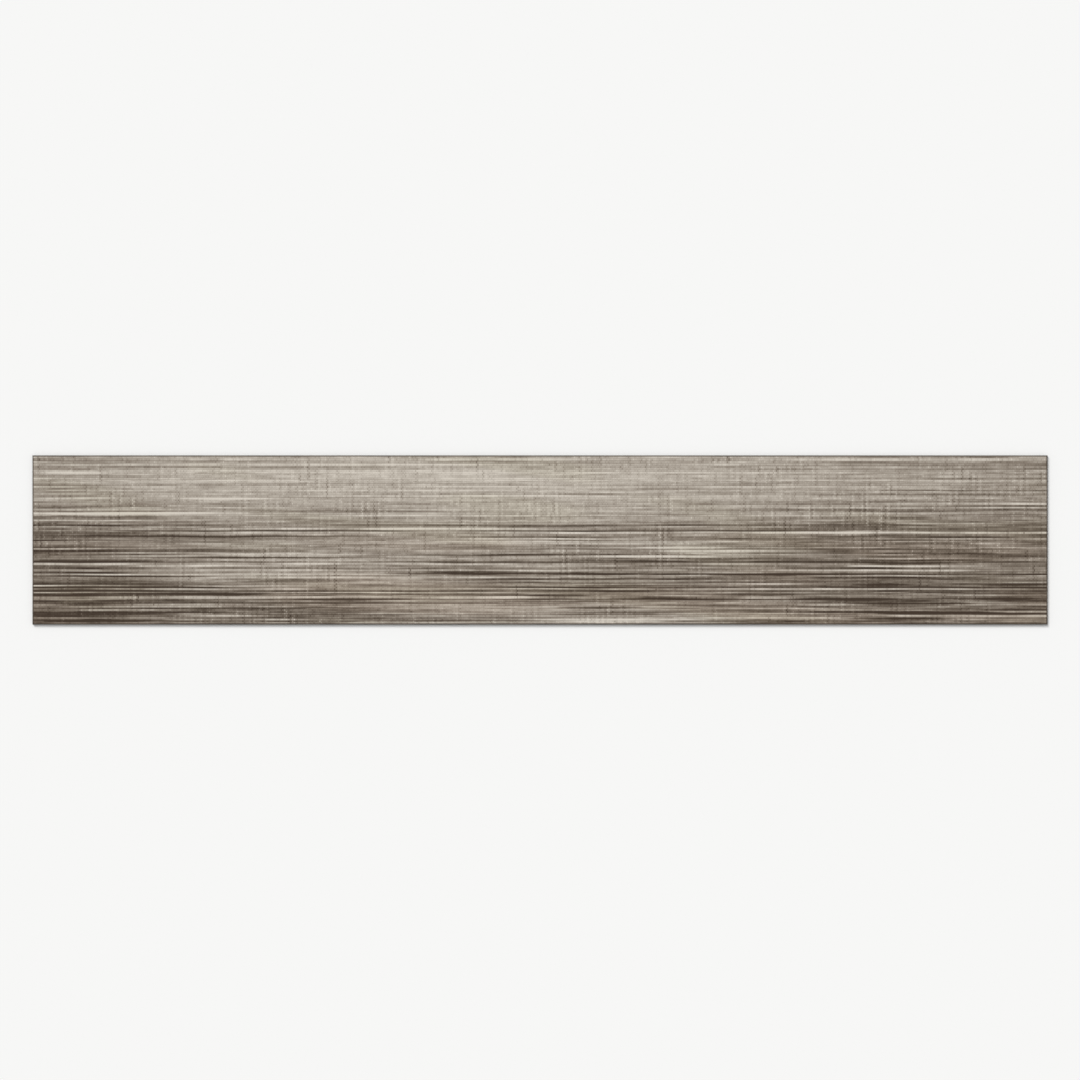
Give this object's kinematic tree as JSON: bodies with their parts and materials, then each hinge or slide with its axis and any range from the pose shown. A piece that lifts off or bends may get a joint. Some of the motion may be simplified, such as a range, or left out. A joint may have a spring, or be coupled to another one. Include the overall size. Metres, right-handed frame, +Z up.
{
  "type": "vinyl floor tile",
  "caption": "Flat rectangular vinyl floor plank with a printed woven-look walking face, micro-bevelled top edges and a plain back to glue down on a floor.",
  "frame": {"origin": "middle of the back face, where the plank lies on the floor", "axes": "+X along the plank's length, +Y across its width, +Z up out of the walking face"},
  "size_m": [0.9144, 0.1524, 0.0032],
  "materials": {
    "vinyl": "printed greige woven look with fine streaks along the length, lightly embossed, low sheen"
  },
  "bodies": {
    "root": {"plank": "vinyl"}
  },
  "joints": []
}
